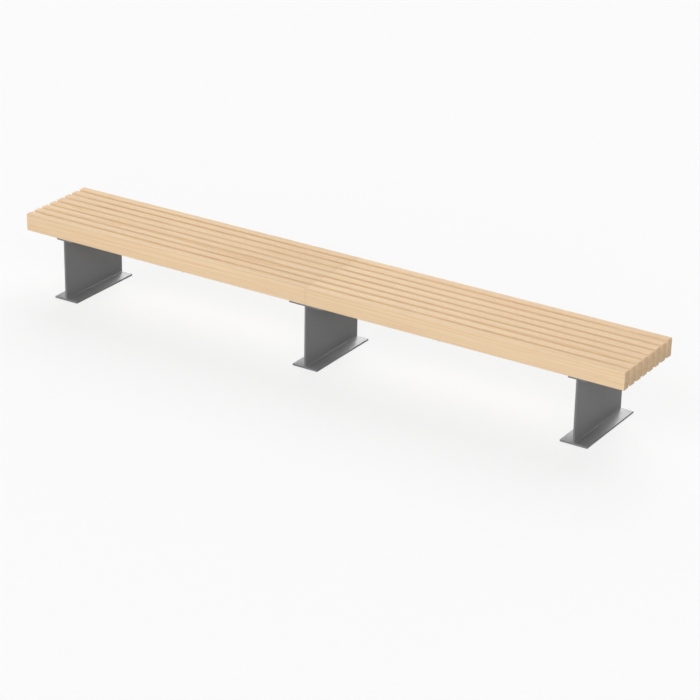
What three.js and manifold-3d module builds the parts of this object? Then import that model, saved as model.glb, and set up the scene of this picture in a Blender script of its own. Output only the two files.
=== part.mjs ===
// Backless public bench, 3.6 m long: eight timber slats on edge, each made of two lengths that butt over
// the middle of three welded steel supports. Millimetres, +Z up, X along the bench, Y from front to back.
// The origin is on the ground under the middle of the seat.
import * as THREE from "three";
import { mergeVertices } from "three/addons/utils/BufferGeometryUtils.js";
import Module from "manifold-3d";

// ---- Driving dimensions ----
const BENCH_LENGTH = 3600;
const SEAT_DEPTH = 500;
const SEAT_HEIGHT = 450;

const SLAT_COUNT = 8;
const SLAT_WIDTH = 45;
const SLAT_HEIGHT = 95;
const SLAT_ARRIS = 2.5; // radius of the rounded long edges
const BUTT_GAP = 1; // between the two lengths of one slat

const PLATE = 10; // thickness of every support plate
const SUPPORT_DEPTH = 490;
const SUPPORT_OFFSET = 1550; // end support's centre from the middle one's
const FOOT_WIDTH = 150;
const END_TOP_WIDTH = 100;
const MIDDLE_TOP_WIDTH = 200; // carries both lengths of each slat

const TIE_OFFSET = SUPPORT_OFFSET / 2; // tie bars sit halfway between supports
const TIE_WIDTH = 40;
const TIE_THICKNESS = 5;
const TIE_LENGTH = 470;
const TIE_HOLE_RADIUS = 3.5;
const TIE_PILOT_RADIUS = 3.3;
const TIE_PILOT_DEPTH = 32;

const SCREW_RADIUS = 4; // M8 lag screws
const SCREW_LENGTH = 60; // under the head
const SCREW_POINT = 7;
const FLANGE_RADIUS = 8.9;
const FLANGE_THICKNESS = 1.6;
const HEX_ACROSS_FLATS = 13;
const HEX_HEIGHT = 5;
const PLATE_HOLE_RADIUS = 4.5;
const PILOT_CLEARANCE = 0.3;
const END_SCREW_OFFSET = 28; // from the web's centre, on alternate sides of it slat by slat
const MIDDLE_SCREW_OFFSET = 55;

const THROUGH = 1; // how far a hole's cutter runs past a face
const ROUND_SIDES = 16;
const ARRIS_STEPS = 4;

// ---- Derived levels and spacings ----
const footTop = PLATE;
const slatBottom = SEAT_HEIGHT - SLAT_HEIGHT;
const topPlateBottom = slatBottom - PLATE;
const webHeight = topPlateBottom - footTop;
const slatLength = (BENCH_LENGTH - BUTT_GAP) / 2;
const slatMiddleX = (BUTT_GAP + slatLength) / 2;
const slatPitch = (SEAT_DEPTH - SLAT_WIDTH) / (SLAT_COUNT - 1);
const slatNumbers = Array.from({ length: SLAT_COUNT }, (_, i) => i + 1); // 1 is the front slat
const slatY = (number) => (number - (SLAT_COUNT + 1) / 2) * slatPitch;

// ---- Materials ----
const timber = new THREE.MeshStandardMaterial({ color: 0xe6c79f, roughness: 0.6, metalness: 0 });
const coatedSteel = new THREE.MeshStandardMaterial({ color: 0x6b6c6c, roughness: 0.4, metalness: 0.3 });
const stainless = new THREE.MeshStandardMaterial({ color: 0xb9bbbd, roughness: 0.3, metalness: 1 });

// ---- Solid helpers ----
const wasm = await Module();
wasm.setup();

// A closed three.js geometry as a manifold-3d solid, with its shared vertices merged.
function toSolid(geometry) {
  const bare = geometry.clone();
  bare.deleteAttribute("normal");
  bare.deleteAttribute("uv");
  const merged = mergeVertices(bare, 1e-4);
  return new wasm.Manifold(
    new wasm.Mesh({
      numProp: 3,
      vertProperties: merged.attributes.position.array,
      triVerts: new Uint32Array(merged.index.array),
    }),
  );
}

function toGeometry(solid) {
  const mesh = solid.getMesh();
  return new THREE.BufferGeometry()
    .setAttribute("position", new THREE.BufferAttribute(mesh.vertProperties, 3))
    .setIndex(new THREE.BufferAttribute(mesh.triVerts, 1))
    .toNonIndexed();
}

// An upright hole through the stated heights; holes is a list of {x, y, radius, from, to}.
function drill(geometry, holes) {
  const drilled = holes.reduce((solid, { x, y, radius, from, to }) => {
    const cutter = new THREE.CylinderGeometry(radius, radius, to - from, ROUND_SIDES)
      .rotateX(Math.PI / 2)
      .translate(x, y, (from + to) / 2);
    return solid.subtract(toSolid(cutter));
  }, toSolid(geometry));
  return toGeometry(drilled);
}

function place(name, geometry, material, x = 0, y = 0, z = 0) {
  const mesh = new THREE.Mesh(geometry, material);
  mesh.name = name;
  mesh.position.set(x, y, z);
  mesh.geometry.computeVertexNormals();
  return mesh;
}

// ---- Modules and fixings ----
// The seat is two modules end to end, on the -X side and on the +X side of the middle support.
const modules = [
  { side: "left", sign: -1 },
  { side: "right", sign: 1 },
];

// Where a slat's screw stands on an end support: outside the web for odd slats, inside it for even ones,
// so that the seat can't rock about the web.
const endScrewX = (number, sign) => sign * (number % 2 ? END_SCREW_OFFSET : -END_SCREW_OFFSET);

// ---- Slats ----
// One length of slat, centred on its own middle with its underside at z = 0, with its three pilot holes.
function slatGeometry(number, sign) {
  const halfWidth = SLAT_WIDTH / 2;
  const inner = halfWidth - SLAT_ARRIS;
  const low = SLAT_ARRIS;
  const high = SLAT_HEIGHT - SLAT_ARRIS;
  const section = new THREE.Shape()
    .moveTo(-inner, 0)
    .lineTo(inner, 0)
    .absarc(inner, low, SLAT_ARRIS, -Math.PI / 2, 0)
    .lineTo(halfWidth, high)
    .absarc(inner, high, SLAT_ARRIS, 0, Math.PI / 2)
    .lineTo(-inner, SLAT_HEIGHT)
    .absarc(-inner, high, SLAT_ARRIS, Math.PI / 2, Math.PI)
    .lineTo(-halfWidth, low)
    .absarc(-inner, low, SLAT_ARRIS, Math.PI, 1.5 * Math.PI);
  const bar = new THREE.ExtrudeGeometry(section, {
    depth: slatLength,
    bevelEnabled: false,
    curveSegments: ARRIS_STEPS,
  })
    .translate(0, 0, -slatLength / 2)
    .rotateX(Math.PI / 2)
    .rotateZ(Math.PI / 2);

  const screwDepth = SCREW_LENGTH - PLATE + THROUGH;
  const pilot = (benchX, radius, depth) => ({
    x: benchX - sign * slatMiddleX,
    y: 0,
    radius,
    from: -THROUGH,
    to: depth,
  });
  return drill(bar, [
    pilot(sign * MIDDLE_SCREW_OFFSET, SCREW_RADIUS + PILOT_CLEARANCE, screwDepth),
    pilot(sign * TIE_OFFSET, TIE_PILOT_RADIUS, TIE_PILOT_DEPTH),
    pilot(sign * SUPPORT_OFFSET + endScrewX(number, sign), SCREW_RADIUS + PILOT_CLEARANCE, screwDepth),
  ]);
}

function slats({ side, sign }) {
  const group = new THREE.Group();
  for (const number of slatNumbers) {
    const name = `${side}_slat_${number}`;
    const geometry = slatGeometry(number, sign);
    group.add(place(name, geometry, timber, sign * slatMiddleX, slatY(number), slatBottom));
  }
  return group;
}

// ---- Supports: foot plate, web and top plate, welded together ----
const box = (x, y, z) => new THREE.BoxGeometry(x, y, z).translate(0, 0, z / 2);

// screws lists {name, x, number}: a screw's x from the support's centre, and the slat that it holds.
function support(position, centreX, topWidth, screws) {
  const group = new THREE.Group();
  group.position.x = centreX;
  const holes = screws.map(({ x, number }) => ({
    x,
    y: slatY(number),
    radius: PLATE_HOLE_RADIUS,
    from: -THROUGH,
    to: PLATE + THROUGH,
  }));
  group.add(
    place(`${position}_foot_plate`, box(FOOT_WIDTH, SUPPORT_DEPTH, PLATE), coatedSteel),
    place(`${position}_web`, box(PLATE, SUPPORT_DEPTH, webHeight), coatedSteel, 0, 0, footTop),
    place(
      `${position}_top_plate`,
      drill(box(topWidth, SUPPORT_DEPTH, PLATE), holes),
      coatedSteel,
      0,
      0,
      topPlateBottom,
    ),
  );
  for (const { name, x, number } of screws)
    group.add(place(name, screwGeometry(), stainless, x, slatY(number), topPlateBottom));
  return group;
}

// ---- Lag screws, driven up through the top plates ----
// A hex head with its flange, shank and point; z = 0 is where the flange meets the plate.
function screwGeometry() {
  const profile = [
    [0, -FLANGE_THICKNESS],
    [FLANGE_RADIUS, -FLANGE_THICKNESS],
    [FLANGE_RADIUS, 0],
    [SCREW_RADIUS, 0],
    [SCREW_RADIUS, SCREW_LENGTH - SCREW_POINT],
    [0, SCREW_LENGTH],
  ].map(([radius, height]) => new THREE.Vector2(radius, height));
  const shank = new THREE.LatheGeometry(profile, ROUND_SIDES).rotateX(Math.PI / 2);
  const cornerRadius = HEX_ACROSS_FLATS / 2 / Math.cos(Math.PI / 6);
  const overlap = FLANGE_THICKNESS / 2;
  const hex = new THREE.CylinderGeometry(cornerRadius, cornerRadius, HEX_HEIGHT + overlap, 6)
    .rotateX(Math.PI / 2)
    .translate(0, 0, -FLANGE_THICKNESS - HEX_HEIGHT / 2 + overlap / 2);
  return toGeometry(toSolid(shank).add(toSolid(hex)));
}

const endScrews = ({ side, sign }) =>
  slatNumbers.map((number) => ({
    name: `${side}_lag_screw_${number}`,
    x: endScrewX(number, sign),
    number,
  }));

const middleScrews = modules.flatMap(({ side, sign }) =>
  slatNumbers.map((number) => ({
    name: `middle_lag_screw_${side}_${number}`,
    x: sign * MIDDLE_SCREW_OFFSET,
    number,
  })),
);

// ---- Tie bars: flat bars across the underside of the slats at mid-span ----
function tieBar({ side, sign }) {
  const holes = slatNumbers.map((number) => ({
    x: 0,
    y: slatY(number),
    radius: TIE_HOLE_RADIUS,
    from: -THROUGH,
    to: TIE_THICKNESS + THROUGH,
  }));
  const bar = drill(box(TIE_WIDTH, TIE_LENGTH, TIE_THICKNESS), holes);
  return place(`${side}_tie_bar`, bar, coatedSteel, sign * TIE_OFFSET, 0, slatBottom - TIE_THICKNESS);
}

// ---- Assembly ----
const bench = new THREE.Group();
bench.add(support("middle", 0, MIDDLE_TOP_WIDTH, middleScrews));
for (const module of modules) {
  const endX = module.sign * SUPPORT_OFFSET;
  bench.add(support(module.side, endX, END_TOP_WIDTH, endScrews(module)), slats(module), tieBar(module));
}

export default bench;
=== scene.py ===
# %% [markdown]
# # A long timber bench on welded steel plates
# The bench is eight lines of timber on edge, laid on three supports of steel plate. Its sizes come from the
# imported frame: every node there is a finished part of the design, and each piece below takes a node's place
# with the edges, welds, screw heads and grain that the plain solid leaves out. Lengths are in metres.

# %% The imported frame
import math
import random

import bmesh
import bpy
from mathutils import Matrix, Vector


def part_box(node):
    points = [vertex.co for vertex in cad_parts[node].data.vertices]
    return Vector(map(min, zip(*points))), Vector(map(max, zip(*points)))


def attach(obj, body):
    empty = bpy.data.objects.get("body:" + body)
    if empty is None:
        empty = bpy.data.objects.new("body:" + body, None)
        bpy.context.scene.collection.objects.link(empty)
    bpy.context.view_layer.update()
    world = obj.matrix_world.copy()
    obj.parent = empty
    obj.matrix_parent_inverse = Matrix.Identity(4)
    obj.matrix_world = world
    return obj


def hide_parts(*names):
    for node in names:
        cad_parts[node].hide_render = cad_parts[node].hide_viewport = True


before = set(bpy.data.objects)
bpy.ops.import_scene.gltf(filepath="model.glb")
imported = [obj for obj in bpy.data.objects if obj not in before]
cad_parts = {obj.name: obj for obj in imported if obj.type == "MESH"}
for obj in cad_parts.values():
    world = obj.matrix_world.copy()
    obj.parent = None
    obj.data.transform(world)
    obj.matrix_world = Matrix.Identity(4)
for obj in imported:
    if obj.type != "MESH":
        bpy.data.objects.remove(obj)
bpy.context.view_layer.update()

MM = 0.001

# %% [markdown]
# ## The camera
# The bench is seen from its front right corner, from well above and far off, so the long seat runs away to
# the left with little perspective. A long lens thirteen metres away gives that, where a short one close by
# would swell the near end. The camera is built from a place, a turn, a tilt and a slight roll, because those
# are the four things that are set on a tripod.

# %% The camera
CAMERA_AT = Vector((6.4095, -9.9597, 5.2992))
CAMERA_TURN = math.radians(32.287)  # to the left of straight ahead
CAMERA_TILT = math.radians(24.038)  # below level
CAMERA_ROLL = math.radians(1.077)
SENSOR_MM = 36
LENS_MM = 128.77

camera_data = bpy.data.cameras.new("camera")
camera_data.sensor_width = SENSOR_MM
camera_data.lens = LENS_MM
camera = bpy.data.objects.new("camera", camera_data)
camera.matrix_world = (
    Matrix.Translation(CAMERA_AT)
    @ Matrix.Rotation(CAMERA_TURN, 4, "Z")
    @ Matrix.Rotation(math.pi / 2 - CAMERA_TILT, 4, "X")
    @ Matrix.Rotation(CAMERA_ROLL, 4, "Z")
)
bpy.context.collection.objects.link(camera)
bpy.context.scene.camera = camera
bpy.context.scene.view_settings.view_transform = "Standard"
print("camera:", round(CAMERA_AT.length, 2), "m from the bench,", LENS_MM, "mm lens")

# %% [markdown]
# ## Colours and nodes
# Three small helpers carry all the materials. Paint charts and screens give colours as sRGB, while shaders
# work in linear light, so one function turns a hex value into what a socket wants. The next adds a node and
# fills its sockets: a value that is a socket becomes a link, anything else becomes the setting. The last
# starts a material with nothing in its node tree but the output.


# %% Colours and nodes
def linear(hex_colour, alpha=1.0):
    """An sRGB hex colour as linear red, green, blue and alpha."""
    channels = [int(hex_colour[i : i + 2], 16) / 255 for i in (1, 3, 5)]
    return [c / 12.92 if c <= 0.04045 else ((c + 0.055) / 1.055) ** 2.4 for c in channels] + [alpha]


def add_node(tree, kind, settings=None, sockets=None):
    """Adds a node, with its properties from settings and its inputs from sockets, by name or by number."""
    node = tree.nodes.new(kind)
    for name, value in (settings or {}).items():
        setattr(node, name, value)
    for name, value in (sockets or {}).items():
        if isinstance(value, bpy.types.NodeSocket):
            tree.links.new(value, node.inputs[name])
        else:
            node.inputs[name].default_value = value
    return node


def new_material(name):
    """An empty material, its node tree and its output node."""
    material = bpy.data.materials.new(name)
    material.use_nodes = True
    material.node_tree.nodes.clear()
    output = add_node(material.node_tree, "ShaderNodeOutputMaterial")
    return material, material.node_tree, output


print("sRGB mid grey in linear light:", round(linear("#808080")[0], 3))

# %% [markdown]
# ## The timber's rings
# The slats are planed softwood under a clear satin stain: pale, straight-grained, with narrow darker lines
# of late growth. A flat picture of grain would have to be bent round every edge. Wood is really a solid
# pattern, rings about a pith, and a slat is a cut through it. So the rings are worked out in space, from the
# place that each point had in its log, which every slat carries as an attribute. The faces then show long
# lines, the ends show arcs, and the lines meet at the arrises, as they do on sawn timber.

# %% The timber's rings
RING = 5.5 * MM  # wider than real growth of 2 to 4 mm, so that the lines show from across a street
RING_WAVER = 15 * MM  # how far the slow waves can push a ring outwards
RING_SHAKE = 1.6 * MM  # how far the small waves can

# Pale and nearly matt, with fine warm lines that follow the length: the eye reads planed wood, not plastic.
timber, tree, output = new_material("planed_softwood_clear_satin_stain")
log = add_node(tree, "ShaderNodeAttribute", {"attribute_name": "log"}).outputs["Vector"]

# Slow waves along the trunk bend the rings a little; small ones roughen each line. Each place is multiplied
# by waves per metre, few along the trunk and more across it, which stretches the noise along the grain.
trunk_waves = add_node(
    tree,
    "ShaderNodeVectorMath",
    {"operation": "MULTIPLY"},
    {0: log, 1: (0.9, 7.0, 7.0)},
)
waver = add_node(
    tree, "ShaderNodeTexNoise", None, {"Vector": trunk_waves.outputs[0], "Scale": 1.0, "Detail": 2.0}
)
fine_waves = add_node(
    tree,
    "ShaderNodeVectorMath",
    {"operation": "MULTIPLY"},
    {0: log, 1: (6.0, 90.0, 90.0)},
)
ripple = add_node(
    tree, "ShaderNodeTexNoise", None, {"Vector": fine_waves.outputs[0], "Scale": 1.0, "Detail": 2.0}
)
across = add_node(
    tree, "ShaderNodeVectorMath", {"operation": "MULTIPLY"}, {0: log, 1: (0.0, 1.0, 1.0)}
)
radius = add_node(tree, "ShaderNodeVectorMath", {"operation": "LENGTH"}, {0: across.outputs[0]})
bent = add_node(
    tree,
    "ShaderNodeMath",
    {"operation": "MULTIPLY_ADD"},
    {0: waver.outputs[0], 1: RING_WAVER, 2: radius.outputs["Value"]},
)
grown = add_node(
    tree,
    "ShaderNodeMath",
    {"operation": "MULTIPLY_ADD"},
    {0: ripple.outputs[0], 1: RING_SHAKE, 2: bent.outputs[0]},
)

# Each year's growth darkens slowly and ends sharply. The years differ, which a one-dimensional noise gives.
years = add_node(tree, "ShaderNodeMath", {"operation": "DIVIDE"}, {0: grown.outputs[0], 1: RING})
year_part = add_node(tree, "ShaderNodeMath", {"operation": "FRACT"}, {0: years.outputs[0]})
late_growth = add_node(tree, "ShaderNodeValToRGB", None, {"Fac": year_part.outputs[0]})
stops = late_growth.color_ramp.elements
stops[0].position, stops[0].color = 0.0, (0.12, 0.12, 0.12, 1)
stops[1].position, stops[1].color = 0.55, (0.22, 0.22, 0.22, 1)
for position, darkness in ((0.86, 1.0), (0.95, 0.85), (1.0, 0.12)):
    stop = stops.new(position)
    stop.color = (darkness, darkness, darkness, 1)
strength = add_node(
    tree,
    "ShaderNodeTexNoise",
    {"noise_dimensions": "1D"},
    {"W": years.outputs[0], "Scale": 0.6, "Detail": 1.0},
)
line = add_node(
    tree,
    "ShaderNodeMath",
    {"operation": "MULTIPLY"},
    {0: late_growth.outputs["Color"], 1: strength.outputs[0]},
)
print("timber: rings every", RING / MM, "mm, waving by up to", RING_WAVER / MM, "mm")

# %% [markdown]
# ## The timber's bands and fibres
# Rings alone look printed. Real boards also have wide bands of warmer and cooler wood, a slow drift of tone
# along and between them, and fibres: fine streaks that run with the grain. Each is a noise read from the
# place in the log, so they all turn with the rings. The fibres are one noise with five layers, each half as
# wide as the last, because that costs one node where separate streaks would cost five.

# %% The timber's bands and fibres
BAND = 21 * MM
FIBRE = 7 * MM  # the coarsest streaks; each finer layer is half as wide, down to 0.4 mm
FIBRE_STRETCH = 60  # a streak is this many times longer than wide

band = add_node(
    tree,
    "ShaderNodeTexNoise",
    {"noise_dimensions": "1D"},
    {"W": grown.outputs[0], "Scale": 1 / BAND, "Detail": 2.0, "Roughness": 0.6},
)
drift_place = add_node(
    tree, "ShaderNodeVectorMath", {"operation": "MULTIPLY"}, {0: log, 1: (1.3, 6.0, 6.0)}
)
drift = add_node(
    tree, "ShaderNodeTexNoise", None, {"Vector": drift_place.outputs[0], "Scale": 1.0, "Detail": 3.0}
)
fibre_place = add_node(
    tree,
    "ShaderNodeVectorMath",
    {"operation": "MULTIPLY"},
    {0: log, 1: (1 / (FIBRE * FIBRE_STRETCH), 1 / FIBRE, 1 / FIBRE)},
)
fibres = add_node(
    tree,
    "ShaderNodeTexNoise",
    None,
    {"Vector": fibre_place.outputs[0], "Scale": 1.0, "Detail": 4.0, "Roughness": 0.7},
)
print("timber: bands", BAND / MM, "mm wide, streaks up to", FIBRE / MM, "mm wide")

# %% [markdown]
# ## The timber's colour
# The colours go on in layers, as light passes through stained wood: a pale ground that drifts between two
# tones, a faint multiply for the bands, the warm brown of late growth along the rings, and the fibres over
# all. An overlay lightens and darkens round the middle, so the fibres hardly move the mean colour. One ramp
# over one noise would be shorter, but it ties every tone to one pattern, and in wood they have many causes.

# %% The timber's colour
LATE_GROWTH = "#d5ae7f"
FIBRE_CONTRAST = 0.34

pale = add_node(
    tree,
    "ShaderNodeMix",
    {"data_type": "RGBA"},
    {"Factor": drift.outputs[0], 6: linear("#edd5b2"), 7: linear("#e9d1b5")},
)
banded = add_node(
    tree,
    "ShaderNodeMix",
    {"data_type": "RGBA", "blend_type": "MULTIPLY"},
    {"Factor": band.outputs[0], 6: pale.outputs[2], 7: linear("#f4ecdf")},
)
lined = add_node(
    tree,
    "ShaderNodeMix",
    {"data_type": "RGBA"},
    {"Factor": line.outputs[0], 6: banded.outputs[2], 7: linear(LATE_GROWTH)},
)
streaked = add_node(
    tree,
    "ShaderNodeMix",
    {"data_type": "RGBA", "blend_type": "OVERLAY"},
    {"Factor": FIBRE_CONTRAST, 6: lined.outputs[2], 7: fibres.outputs[0]},
)
print("timber: late growth is", [round(v, 2) for v in linear(LATE_GROWTH)[:3]], "in linear light")

# %% [markdown]
# ## The timber's surface
# A stain soaks in, so it shines far less than a lacquer: the reflection is well under a plain plastic's and
# it is blurred. The fibres vary the blur, and they and the rings lift the surface by about a tenth of a
# millimetre, which breaks the sheen into streaks. The saw leaves the ends rougher than the planed faces. A
# second material could cover the ends, but it is enough that the roughness rises where a face looks along
# the bench.

# %% The timber's surface
STAIN_GLOSS = 0.2  # 0.5 is a plain plastic
END_ROUGHNESS = 0.15  # on top of the planed faces'
GRAIN_DEPTH = 0.12 * MM

facing = add_node(tree, "ShaderNodeTexCoord").outputs["Normal"]
facing_x = add_node(tree, "ShaderNodeSeparateXYZ", None, {0: facing}).outputs["X"]
end_face = add_node(tree, "ShaderNodeMath", {"operation": "ABSOLUTE"}, {0: facing_x})
end_grain = add_node(
    tree,
    "ShaderNodeMapRange",
    {"interpolation_type": "SMOOTHSTEP"},
    {"Value": end_face.outputs[0], "From Min": 0.5, "From Max": 0.95},
)
satin = add_node(
    tree,
    "ShaderNodeMapRange",
    None,
    {"Value": fibres.outputs[0], "To Min": 0.6, "To Max": 0.8},
)
rough = add_node(
    tree,
    "ShaderNodeMath",
    {"operation": "MULTIPLY_ADD"},
    {0: end_grain.outputs[0], 1: END_ROUGHNESS, 2: satin.outputs[0]},
)
grain_height = add_node(
    tree,
    "ShaderNodeMath",
    {"operation": "MULTIPLY_ADD"},
    {0: line.outputs[0], 1: 0.8, 2: fibres.outputs[0]},
)
grain_bump = add_node(
    tree,
    "ShaderNodeBump",
    None,
    {"Height": grain_height.outputs[0], "Strength": 0.5, "Distance": GRAIN_DEPTH},
)
wood_shader = add_node(
    tree,
    "ShaderNodeBsdfPrincipled",
    None,
    {
        "Base Color": streaked.outputs[2],
        "Roughness": rough.outputs[0],
        "Normal": grain_bump.outputs[0],
        "IOR": 1.5,
        "Specular IOR Level": STAIN_GLOSS,
    },
)
tree.links.new(wood_shader.outputs[0], output.inputs[0])
print("timber:", len(tree.nodes), "nodes")

# %% [markdown]
# ## The paint on the steel
# The plates are cut by laser, welded, and coated in a satin graphite grey. Powder coat melts into a skin
# that is smooth from afar and faintly dimpled close to, like orange peel, and it takes soft reflections. A
# metallic shader would suit bare steel, but this is a plastic skin, so it isn't metallic here: a strong
# plastic gloss over a mid grey gives the bright sheen at low angles on the feet and the flat dark grey of
# the uprights.

# %% The paint on the steel
ORANGE_PEEL = 1.8 * MM
GRIT = 0.25 * MM
CLOUDS_PER_METRE = 9.0
PAINT_GLOSS = 1.0  # twice the straight-on reflection of a plain plastic

# Dark and even on upright faces, bright where light grazes it: coated plate to the eye, not bare steel.
paint, tree, output = new_material("steel_powder_coat_satin_graphite")
place = add_node(tree, "ShaderNodeTexCoord").outputs["Object"]
peel = add_node(
    tree, "ShaderNodeTexNoise", None, {"Vector": place, "Scale": 1 / ORANGE_PEEL, "Detail": 1.0}
)
grit = add_node(tree, "ShaderNodeTexNoise", None, {"Vector": place, "Scale": 1 / GRIT, "Detail": 2.0})
cloud = add_node(
    tree, "ShaderNodeTexNoise", None, {"Vector": place, "Scale": CLOUDS_PER_METRE, "Detail": 3.0}
)
grey = add_node(
    tree,
    "ShaderNodeMix",
    {"data_type": "RGBA"},
    {"Factor": grit.outputs[0], 6: linear("#707173"), 7: linear("#7b7c7e")},
)
paint_rough = add_node(
    tree,
    "ShaderNodeMapRange",
    None,
    {"Value": cloud.outputs[0], "From Min": 0.3, "From Max": 0.7, "To Min": 0.40, "To Max": 0.48},
)
peel_bump = add_node(
    tree,
    "ShaderNodeBump",
    None,
    {"Height": peel.outputs[0], "Strength": 0.25, "Distance": 0.05 * MM},
)
paint_shader = add_node(
    tree,
    "ShaderNodeBsdfPrincipled",
    None,
    {
        "Base Color": grey.outputs[2],
        "Roughness": paint_rough.outputs[0],
        "Normal": peel_bump.outputs[0],
        "IOR": 1.5,
        "Specular IOR Level": PAINT_GLOSS,
    },
)
tree.links.new(paint_shader.outputs[0], output.inputs[0])
print("paint: orange peel", ORANGE_PEEL / MM, "mm across")

# %% [markdown]
# ## The screws' steel
# The lag screws are plain stainless steel, cold-headed and tumbled, with no coating. Tumbling leaves tiny
# scratches in all directions, so the metal is bright but its reflections are blurred and a little uneven.
# Modelled scratches would need thousands of tiny cuts, so one fine noise drives colour, blur and bump.

# %% The screws' steel
SCRATCH = 0.4 * MM

# Small soft glints in a row under each plate, lighter than the paint round them.
stainless, tree, output = new_material("stainless_steel_tumbled")
place = add_node(tree, "ShaderNodeTexCoord").outputs["Object"]
scratches = add_node(
    tree, "ShaderNodeTexNoise", None, {"Vector": place, "Scale": 1 / SCRATCH, "Detail": 3.0}
)
steel_grey = add_node(
    tree,
    "ShaderNodeMix",
    {"data_type": "RGBA"},
    {"Factor": scratches.outputs[0], 6: linear("#a9abad"), 7: linear("#c6c7c8")},
)
steel_rough = add_node(
    tree, "ShaderNodeMapRange", None, {"Value": scratches.outputs[0], "To Min": 0.28, "To Max": 0.42}
)
steel_bump = add_node(
    tree,
    "ShaderNodeBump",
    None,
    {"Height": scratches.outputs[0], "Strength": 0.15, "Distance": 0.02 * MM},
)
steel_shader = add_node(
    tree,
    "ShaderNodeBsdfPrincipled",
    None,
    {
        "Base Color": steel_grey.outputs[2],
        "Metallic": 1.0,
        "Roughness": steel_rough.outputs[0],
        "Normal": steel_bump.outputs[0],
    },
)
tree.links.new(steel_shader.outputs[0], output.inputs[0])
print("stainless: scratches", SCRATCH / MM, "mm")

# %% [markdown]
# ## Cutting stock
# Operators act on whatever is selected, so each of these helpers first clears the selection. A blank is a
# box between two corners, as stock is cut to length. Its size goes into the mesh, and not into the object's
# scale, so that a bevel is as wide on a long side as on a short one.


# %% Cutting stock
def only(piece):
    """Selects one piece and nothing else."""
    bpy.ops.object.select_all(action="DESELECT")
    piece.select_set(True)
    bpy.context.view_layer.objects.active = piece


def blank(name, low, high):
    """A box between two corners, with its place in its mesh."""
    bpy.ops.object.select_all(action="DESELECT")
    bpy.ops.mesh.primitive_cube_add(size=1, location=(low + high) / 2, scale=high - low)
    bpy.ops.object.transform_apply(location=True, rotation=True, scale=True)
    piece = bpy.context.object
    piece.name = piece.data.name = name
    return piece


# %% [markdown]
# ## Rounding edges
# No real arris is perfectly sharp, and the thin bright line along a rounded one is what makes an edge look
# solid. A bevel modifier rounds by angle or by weights. Here a small test on an edge's two ends says which
# ones are rounded, so each piece can state its own rule in one line.


# %% Rounding edges
def round_edges(piece, wanted, radius, steps):
    """Rounds the edges for which wanted(one end, other end) is true."""
    only(piece)
    bpy.ops.object.mode_set(mode="EDIT")
    bpy.ops.mesh.select_all(action="DESELECT")
    bpy.ops.mesh.select_mode(type="EDGE")
    mesh = bmesh.from_edit_mesh(piece.data)
    for edge in mesh.edges:
        edge.select_set(bool(wanted(*(vertex.co for vertex in edge.verts))))
    bmesh.update_edit_mesh(piece.data)
    bpy.ops.mesh.bevel(offset=radius, segments=steps, profile=0.5, affect="EDGES")
    bpy.ops.object.mode_set(mode="OBJECT")


# %% [markdown]
# ## Boring holes
# The holes are bored as a drill press would do it: the bits are cylinders, joined into one cutter, and a
# boolean takes them all out of the piece at once. One boolean for each hole would give the same shape, but
# every cut would have to sort out the cuts before it.

# %% Boring holes
BIT_SIDES = 24


def bore(piece, places, radius, low, high):
    """Bores an upright hole at each (x, y), between two heights."""
    cutters = []
    for x, y in places:
        bpy.ops.object.select_all(action="DESELECT")
        bpy.ops.mesh.primitive_cylinder_add(
            vertices=BIT_SIDES, radius=radius, depth=high - low, location=(x, y, (low + high) / 2)
        )
        cutters.append(bpy.context.object)
    bpy.ops.object.select_all(action="DESELECT")
    for cutter in cutters:
        cutter.select_set(True)
    bpy.ops.object.join()
    cutter = bpy.context.object
    holes = piece.modifiers.new("holes", "BOOLEAN")
    holes.object = cutter
    only(piece)
    bpy.ops.object.modifier_apply(modifier=holes.name)
    bpy.data.objects.remove(cutter)


# %% [markdown]
# ## Copying and finishing
# Repeated pieces are copies of one pattern, each with its own mesh and with its move in that mesh, so every
# object stays at the origin. Linked copies would share one mesh, and then they could not each have a place
# of their own in it. A finished piece has its round parts smoothed, by angle, so that its flat faces stay
# flat, and gets its material and its body, and the CAD node whose place it takes is hidden.

# %% Copying and finishing
SMOOTH_BELOW = math.radians(30)


def copied(piece, name, move):
    """A copy with its own mesh, moved by a matrix that goes into the mesh."""
    twin = piece.copy()
    twin.data = piece.data.copy()
    twin.name = twin.data.name = name
    twin.data.transform(move)
    bpy.context.collection.objects.link(twin)
    return twin


def finished(piece, material, node=None):
    """Smooths and paints a piece, puts it under the root body, and hides the CAD node whose place it takes,
    if it has one.
    """
    only(piece)
    bpy.ops.object.shade_smooth_by_angle(angle=SMOOTH_BELOW)
    piece.data.materials.clear()
    piece.data.materials.append(material)
    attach(piece, "root")
    if node:
        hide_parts(node)


# %% [markdown]
# ## The slats
# A slat is a 45 by 95 mm length of planed timber. The planer leaves its long arrises rounded so that they
# don't splinter, and the saw cuts are eased by a stroke of sandpaper. It could be an extruded outline, but a
# blank whose edges are bevelled twice, wide along the grain and narrow round the ends, is quicker to read
# and gives the small pillow at each end. Odd and even slats are drilled on opposite sides of the end
# support's web, so two are modelled and the sixteen are copies of them.

# %% A slat
ARRIS = 2.5 * MM
END_EASE = 0.8 * MM
PILOT = 4.3 * MM
TIE_PILOT = 3.3 * MM
PILOT_DEPTH = 51 * MM
TIE_PILOT_DEPTH = 32 * MM
HAIR = 0.01 * MM  # nearer than this is the same place

slat_low, slat_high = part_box("right_slat_1")
slat_bottom = slat_low.z
front_row = Vector((0, (slat_low.y + slat_high.y) / 2, 0))


def middle(node):
    """The middle of a CAD node's box."""
    low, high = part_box(node)
    return (low + high) / 2


def at_one_end(a, b):
    """Whether both ends of an edge are in the same sawn end of the slat."""
    return any(abs(a.x - x) < HAIR and abs(b.x - x) < HAIR for x in (slat_low.x, slat_high.x))


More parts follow.
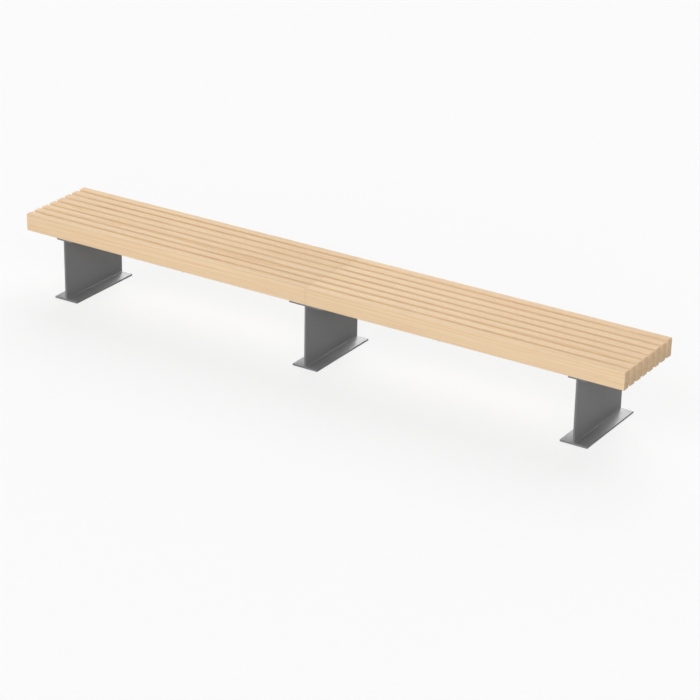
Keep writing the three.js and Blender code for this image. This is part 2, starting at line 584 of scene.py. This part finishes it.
def new_slat(number):
    """A slat of the right module, drilled like the one with that number, on the bench's centre line."""
    slat = blank("slat", slat_low - front_row, slat_high - front_row)
    round_edges(slat, lambda a, b: abs(a.x - b.x) > ARRIS, ARRIS, steps=6)
    round_edges(slat, at_one_end, END_EASE, steps=2)
    screws = (middle(f"right_lag_screw_{number}").x, middle("middle_lag_screw_right_1").x)
    bore(slat, [(x, 0) for x in screws], PILOT, slat_bottom - MM, slat_bottom + PILOT_DEPTH)
    tie = middle("right_tie_bar").x
    bore(slat, [(tie, 0)], TIE_PILOT, slat_bottom - MM, slat_bottom + TIE_PILOT_DEPTH)
    return slat


patterns = {1: new_slat(1), 0: new_slat(2)}
print("a slat:", [round(v / MM, 1) for v in slat_high - slat_low], "mm")

# %% [markdown]
# ## The sixteen slats
# No two boards are cut from the same place in the same log. Each slat draws how its section is turned, how
# far it lies from the pith, how it leans and where along the trunk it was, and every point keeps the place
# in the log that this gives it. Moving the texture in the material would need sixteen materials, and an
# attribute needs one. The left slats are the right ones turned end for end, as a carpenter would turn them.


# %% The sixteen slats
def cut_from_log(slat, seed):
    """Gives every point of a slat the place that it had in its log, in metres, along and across the pith."""
    draw = random.Random(seed)
    turn = Matrix.Rotation(draw.uniform(0, 2 * math.pi), 3, "X")
    lean = Matrix.Rotation(math.radians(draw.uniform(-0.35, 0.35)), 3, "Y")
    felled = Vector((draw.uniform(0, 40), 0, 0))
    pith = Vector((0, 0, draw.uniform(70, 150) * MM))
    centre = sum((vertex.co for vertex in slat.data.vertices), Vector()) / len(slat.data.vertices)
    places = slat.data.attributes.new("log", "FLOAT_VECTOR", "POINT")
    for vertex in slat.data.vertices:
        local = turn @ (vertex.co - centre)
        places.data[vertex.index].vector = lean @ (local + pith) + felled


turned = Matrix.Rotation(math.pi, 4, "Z")
for side, way, first_log in (("left", turned, 100), ("right", Matrix.Identity(4), 200)):
    for number in range(1, 9):
        node = f"{side}_slat_{number}"
        place_y = Matrix.Translation((0, middle(node).y, 0))
        slat = copied(patterns[number % 2], f"{side}_timber_{number}", place_y @ way)
        cut_from_log(slat, seed=first_log + number)
        finished(slat, timber, node)
for pattern in patterns.values():
    bpy.data.objects.remove(pattern)

# %% [markdown]
# ## The supports
# Each support is three flat plates welded to an I: a foot, an upright web and a top plate under the slats.
# Plate edges are cut square and then lose their sharpness under sandpaper and coating, so a radius of about
# a millimetre catches the light along them. The web is rounded only on its upright edges, front and back,
# because the others are welded. The whole I could be extruded from one outline, but then there would be no
# separate plates to round, drill and weld. The top plates are drilled for the screws.

# %% The supports
COATED_EDGE = 1.2 * MM
EDGE_STEPS = 3
PLATE_HOLE = 4.5 * MM
supports = ("left", "middle", "right")


def screw_nodes(support):
    """The names of the lag screws in a support's top plate."""
    return [name for name in sorted(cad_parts) if name.startswith(f"{support}_lag_screw")]


for support in supports:
    foot = blank(f"{support}_foot", *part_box(f"{support}_foot_plate"))
    round_edges(foot, lambda a, b: True, COATED_EDGE, EDGE_STEPS)
    finished(foot, paint, f"{support}_foot_plate")

    web = blank(f"{support}_upright", *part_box(f"{support}_web"))
    round_edges(web, lambda a, b: abs(a.z - b.z) > MM, COATED_EDGE, EDGE_STEPS)
    finished(web, paint, f"{support}_web")

    low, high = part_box(f"{support}_top_plate")
    top = blank(f"{support}_bearer", low, high)
    round_edges(top, lambda a, b: True, COATED_EDGE, EDGE_STEPS)
    places = [middle(name).xy for name in screw_nodes(support)]
    bore(top, places, PLATE_HOLE, low.z - MM, high.z + MM)
    finished(top, paint, f"{support}_top_plate")
    print(support, "support:", len(places), "holes in its top plate")

# %% [markdown]
# ## The welds
# A fillet weld runs along each side of the web, at the foot and under the top plate. A good bead is a
# slightly bulging bevel with a ripple for every dip of the torch. It starts as a round bar along the corner.
# Two bisecting cuts leave the quarter that fills the corner, and then each point of the round side is moved
# in or out to make the flatter face and the ripples. A displacement could ripple it, but it would also push
# the two flat sides into the plates. One bead is made, and the twelve are copies of it, turned about their
# own length.

# %% The welds
LEG = 3 * MM
BULGE = 0.25  # 0 is a flat bevel, 1 a full quarter round
RIPPLE = 3.2 * MM
RIPPLE_DEPTH = 0.12 * MM
CUTS_PER_RIPPLE = 4
END_SIZE = 0.55  # of the full bead, at its very ends
STOP_SHORT = 6 * MM  # the bead ends before the plates' corners


def bead_size(angle, y, length):
    """How far the bead's face is from its corner, in one direction and at one place along it."""
    flat = LEG / (math.cos(angle) + math.sin(angle))
    wave = abs(math.sin(math.pi * y / RIPPLE)) * math.sin(2 * angle)
    fade = min(1, math.sin(2 * angle) * 2)  # the ripples die out towards the plates
    reach = flat + (LEG - flat) * BULGE + RIPPLE_DEPTH * (wave - 0.5) * fade
    return reach * min(1, END_SIZE + (length / 2 - abs(y)) / LEG)


def new_weld(length):
    """A bead along Y, filling the corner between +X and +Z, centred on the origin."""
    bpy.ops.object.select_all(action="DESELECT")
    bpy.ops.mesh.primitive_cylinder_add(
        vertices=32, radius=LEG, depth=length, rotation=(math.pi / 2, 0, 0), end_fill_type="NGON"
    )
    bpy.ops.object.transform_apply(location=True, rotation=True, scale=True)
    weld = bpy.context.object
    bpy.ops.object.mode_set(mode="EDIT")
    bpy.ops.mesh.select_all(action="SELECT")
    for normal in ((1, 0, 0), (0, 0, 1)):
        bpy.ops.mesh.bisect(plane_co=(0, 0, 0), plane_no=normal, use_fill=True, clear_inner=True)
        bpy.ops.mesh.select_all(action="SELECT")
    slices = round(length / RIPPLE) * CUTS_PER_RIPPLE
    for cut in range(1, slices):
        y = (cut / slices - 0.5) * length
        bpy.ops.mesh.bisect(plane_co=(0, y, 0), plane_no=(0, 1, 0))
        bpy.ops.mesh.select_all(action="SELECT")
    bpy.ops.mesh.normals_make_consistent(inside=False)
    bpy.ops.object.mode_set(mode="OBJECT")
    for vertex in weld.data.vertices:
        spread = math.hypot(vertex.co.x, vertex.co.z)
        if spread > LEG / 2:  # the others lie in the corner itself
            angle = math.atan2(vertex.co.z, vertex.co.x)
            size = bead_size(angle, vertex.co.y, length)
            vertex.co.x *= size / spread
            vertex.co.z *= size / spread
    return weld


web_low, web_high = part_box("middle_web")
bead = new_weld(web_high.y - web_low.y - 2 * STOP_SHORT)
for support in supports:
    low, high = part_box(f"{support}_web")
    corners = (
        ("foot_right", high.x, low.z, 0),
        ("foot_left", low.x, low.z, -math.pi / 2),
        ("top_left", low.x, high.z, math.pi),
        ("top_right", high.x, high.z, math.pi / 2),
    )
    for corner, x, z, angle in corners:
        move = Matrix.Translation((x, 0, z)) @ Matrix.Rotation(angle, 4, "Y")
        weld = copied(bead, f"{support}_weld_{corner}", move)
        finished(weld, paint)
bpy.data.objects.remove(bead)
print("welds: 12, each", round((web_high.y - web_low.y - 2 * STOP_SHORT) / MM), "mm long")

# %% [markdown]
# ## The tie bars
# Half way between two supports a flat bar crosses under the slats and is screwed to each of them, so that
# tall narrow timber can't twist and the gaps stay even. It is a short length of the same coated steel, made
# like a top plate: a blank with every edge rounded and a row of holes.

# %% The tie bars
TIE_HOLE = 3.5 * MM
for side in ("left", "right"):
    low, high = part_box(f"{side}_tie_bar")
    bar = blank(f"{side}_tie", low, high)
    round_edges(bar, lambda a, b: True, COATED_EDGE, EDGE_STEPS)
    places = [(middle(f"{side}_tie_bar").x, middle(f"{side}_slat_{number}").y) for number in range(1, 9)]
    bore(bar, places, TIE_HOLE, low.z - MM, high.z + MM)
    finished(bar, paint, f"{side}_tie_bar")
    print(side, "tie bar:", round((high.y - low.y) / MM), "mm")

# %% [markdown]
# ## A screw's shank and flange
# All the fixings are lag screws with a hexagon head on a round flange, driven up from below so that the
# seat shows none. The shank and flange are round about one axis, so half a profile is spun into them, as a
# lathe would turn them. Threads are left out, because every one of them is inside the timber.

# %% A screw's shank and flange
SPIN_STEPS = 32


def new_shank(shank, length, flange, flange_height, across_flats):
    """A round shank pointing up from its flange, whose upper face is at height 0."""
    # Radius and height, from the point down to the flange's lower face.
    profile = [
        (0, length),
        (0.6 * MM, length - 0.6 * MM),
        (shank, length - 1.8 * shank),
        (shank, 0),
        (flange - 0.25 * MM, 0),
        (flange, -0.25 * MM),
        (flange, -0.55 * flange_height),
        (flange - 0.35 * MM, -0.75 * flange_height),
        (0.56 * across_flats, -flange_height),
        (0, -flange_height),
    ]
    mesh = bpy.data.meshes.new("screw")
    mesh.from_pydata([(x, 0, z) for x, z in profile], [(i, i + 1) for i in range(len(profile) - 1)], [])
    screw = bpy.data.objects.new("screw", mesh)
    bpy.context.collection.objects.link(screw)
    only(screw)
    bpy.ops.object.mode_set(mode="EDIT")
    bpy.ops.mesh.select_all(action="SELECT")
    bpy.ops.mesh.spin(steps=SPIN_STEPS, angle=2 * math.pi, center=(0, 0, 0), axis=(0, 0, 1))
    bpy.ops.mesh.select_all(action="SELECT")
    bpy.ops.mesh.remove_doubles(threshold=0.001 * MM)
    bpy.ops.mesh.normals_make_consistent(inside=False)
    bpy.ops.object.mode_set(mode="OBJECT")
    return screw


# %% [markdown]
# ## A screw's head
# The hexagon is a six-sided bar whose rim is bevelled and whose end is dished by an inset pushed inwards,
# which is what a cold-heading die leaves. It starts inside the flange, so that a boolean can weld the two
# into one closed body; two bodies that only touch would leave a seam. The same function makes the large
# screws of the supports and the small ones of the tie bars.

# %% A screw's head
HEX_TO_CORNER = 1 / math.cos(math.pi / 6)
RIM = 0.5 * MM
DISH = 0.4 * MM


def new_head(flange_height, across_flats, hex_height):
    """A hexagon that hangs below a flange, with its lower end dished."""
    overlap = flange_height / 2
    top = -flange_height + overlap
    bottom = -flange_height - hex_height
    bpy.ops.object.select_all(action="DESELECT")
    bpy.ops.mesh.primitive_cylinder_add(
        vertices=6,
        radius=across_flats / 2 * HEX_TO_CORNER,
        depth=top - bottom,
        location=(0, 0, (top + bottom) / 2),
    )
    bpy.ops.object.transform_apply(location=True, rotation=True, scale=True)
    head = bpy.context.object
    round_edges(head, lambda a, b: max(a.z, b.z) < bottom + HAIR, RIM, steps=3)
    bpy.ops.object.mode_set(mode="EDIT")
    bpy.ops.mesh.select_all(action="DESELECT")
    bpy.ops.mesh.select_mode(type="FACE")
    mesh = bmesh.from_edit_mesh(head.data)
    for face in mesh.faces:
        face.select_set(face.normal.z < -0.99 and face.calc_center_median().z < bottom + HAIR)
    bmesh.update_edit_mesh(head.data)
    # A flat ring inside the rim, then the slope down into the dish.
    bpy.ops.mesh.inset(thickness=0.14 * across_flats, depth=0)
    bpy.ops.mesh.inset(thickness=0.06 * across_flats, depth=-DISH)
    bpy.ops.object.mode_set(mode="OBJECT")
    return head


def new_screw(shank, length, flange, flange_height, across_flats, hex_height):
    """A lag screw pointing up, with its flange's upper face at height 0."""
    screw = new_shank(shank, length, flange, flange_height, across_flats)
    head = new_head(flange_height, across_flats, hex_height)
    union = screw.modifiers.new("head", "BOOLEAN")
    union.operation = "UNION"
    union.object = head
    only(screw)
    bpy.ops.object.modifier_apply(modifier=union.name)
    bpy.data.objects.remove(head)
    return screw


# %% [markdown]
# ## The screws in place
# Each lag screw takes the place of its node, with its flange against the underside of the top plate. The
# small ones hold the tie bars. They have no node of their own, because they are too light to matter to the
# bench's mass, so their places come from the bars and the slats.

# %% The screws in place
lag_low, lag_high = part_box("left_lag_screw_1")
plate_low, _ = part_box("left_top_plate")
lag = new_screw(
    shank=4 * MM,
    length=lag_high.z - plate_low.z,
    flange=8.9 * MM,
    flange_height=1.6 * MM,
    across_flats=13 * MM,
    hex_height=5 * MM,
)
for support in supports:
    for name in screw_nodes(support):
        at = middle(name)
        screw = copied(lag, f"{name}_hex", Matrix.Translation((at.x, at.y, plate_low.z)))
        finished(screw, stainless, name)
bpy.data.objects.remove(lag)
print("lag screws: 32,", round((lag_high.z - lag_low.z) / MM, 1), "mm long with their heads")

tie_low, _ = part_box("left_tie_bar")
small = new_screw(
    shank=3 * MM,
    length=35 * MM,
    flange=6.8 * MM,
    flange_height=1.3 * MM,
    across_flats=10 * MM,
    hex_height=4 * MM,
)
for side in ("left", "right"):
    x = middle(f"{side}_tie_bar").x
    for number in range(1, 9):
        move = Matrix.Translation((x, middle(f"{side}_slat_{number}").y, tie_low.z))
        screw = copied(small, f"{side}_tie_screw_{number}", move)
        finished(screw, stainless)
bpy.data.objects.remove(small)
print("tie-bar screws: 16")

# %% [markdown]
# ## The floor
# A bench shown in a catalogue stands on a white sweep that is lit by lamps of its own, so it comes out
# nearly white with only a breath of shade, while it sends little of that light back to the bench. With a
# plain white material, a floor bright enough for the camera would also flood the bench from below. This one
# has a switch: the camera sees it glow and take a little shade, and light that bounces sees a mid grey.

# %% The floor
FLOOR_SIZE = 80
FLOOR_GLOW = 0.755
FLOOR_SHADE = 0.21  # how much of the lamps' light the camera sees on it
FLOOR_BOUNCE = 0.5  # how much of it the bench gets back

bpy.ops.object.select_all(action="DESELECT")
bpy.ops.mesh.primitive_plane_add(size=FLOOR_SIZE, location=(0, 0, 0))
floor = bpy.context.object
floor.name = "floor"
# Nearly white and without a sheen, so that nothing on it draws the eye from the bench.
sweep, tree, output = new_material("white_sweep")
seen = add_node(tree, "ShaderNodeLightPath").outputs["Is Camera Ray"]
glow = add_node(tree, "ShaderNodeMath", {"operation": "MULTIPLY"}, {0: seen, 1: FLOOR_GLOW})
shade = add_node(
    tree,
    "ShaderNodeMapRange",
    None,
    {"Value": seen, "To Min": FLOOR_BOUNCE, "To Max": FLOOR_SHADE},
)
matt = add_node(tree, "ShaderNodeBsdfDiffuse", None, {"Color": shade.outputs[0]})
light = add_node(tree, "ShaderNodeEmission", None, {"Strength": glow.outputs[0]})
both = add_node(tree, "ShaderNodeAddShader", None, {0: matt.outputs[0], 1: light.outputs[0]})
tree.links.new(both.outputs[0], output.inputs[0])
floor.data.materials.append(sweep)
print("floor:", FLOOR_SIZE, "m across")

# %% [markdown]
# ## The light tent
# Round the bench is a light tent, bright at the horizon and dark overhead, so it lights upright faces more
# than flat ones. A ring of area lamps could do it, with their edges showing in the paint's sheen. A world
# whose strength falls with height has no edges.

# %% The light tent
HORIZON = 1.2
HORIZON_TOP = 0.5  # the sine of the height at which the tent goes dark

world = bpy.data.worlds.new("light_tent")
world.use_nodes = True
tree = world.node_tree
tree.nodes.clear()
direction = add_node(tree, "ShaderNodeTexCoord").outputs["Generated"]
height = add_node(tree, "ShaderNodeSeparateXYZ", None, {0: direction}).outputs["Z"]
tent = add_node(
    tree,
    "ShaderNodeMapRange",
    None,
    {"Value": height, "From Max": HORIZON_TOP, "To Min": HORIZON, "To Max": 0.0},
)
room = add_node(tree, "ShaderNodeBackground", None, {"Strength": tent.outputs[0]})
output = add_node(tree, "ShaderNodeOutputWorld", None, {0: room.outputs[0]})
bpy.context.scene.world = world
print("light tent: dark above", round(math.degrees(math.asin(HORIZON_TOP))), "degrees")

# %% [markdown]
# ## The far lamps
# Five far lamps model the form. Two in front, one on each side, light the long face and the end. Behind, a
# high one lights the tops of the slats, one on the left stands where the feet mirror it to the camera as a
# sheen, and a low one adds a little to it. They are suns, because a lamp at a few metres would light one
# end of such a long bench more than the other, and their discs are wide, which keeps the shadows soft.


# %% The far lamps
def far_lamp(name, azimuth, elevation, disc, irradiance):
    """A sun with a wide disc. Azimuth is in degrees from straight behind the bench, leftwards. Irradiance
    is what it would give a white card that faces it, as a share of full white."""
    data = bpy.data.lights.new(name, "SUN")
    data.angle = math.radians(disc)
    data.energy = irradiance * math.pi
    lamp = bpy.data.objects.new(name, data)
    lamp.rotation_euler = (math.radians(90 - elevation), 0, math.radians(azimuth + 180))
    bpy.context.collection.objects.link(lamp)
    towards = lamp.rotation_euler.to_matrix() @ Vector((0, 0, 1))
    print(name, "lamp shines from", [round(v, 2) for v in towards])


far_lamp("front_left", 155, 30, 60, 0.43)
far_lamp("front_right", -148, 25, 50, 0.44)
far_lamp("back_high", 8, 42, 50, 0.58)
far_lamp("back_left", 31, 20, 36, 0.31)
far_lamp("back_low", 5, 8, 16, 0.14)
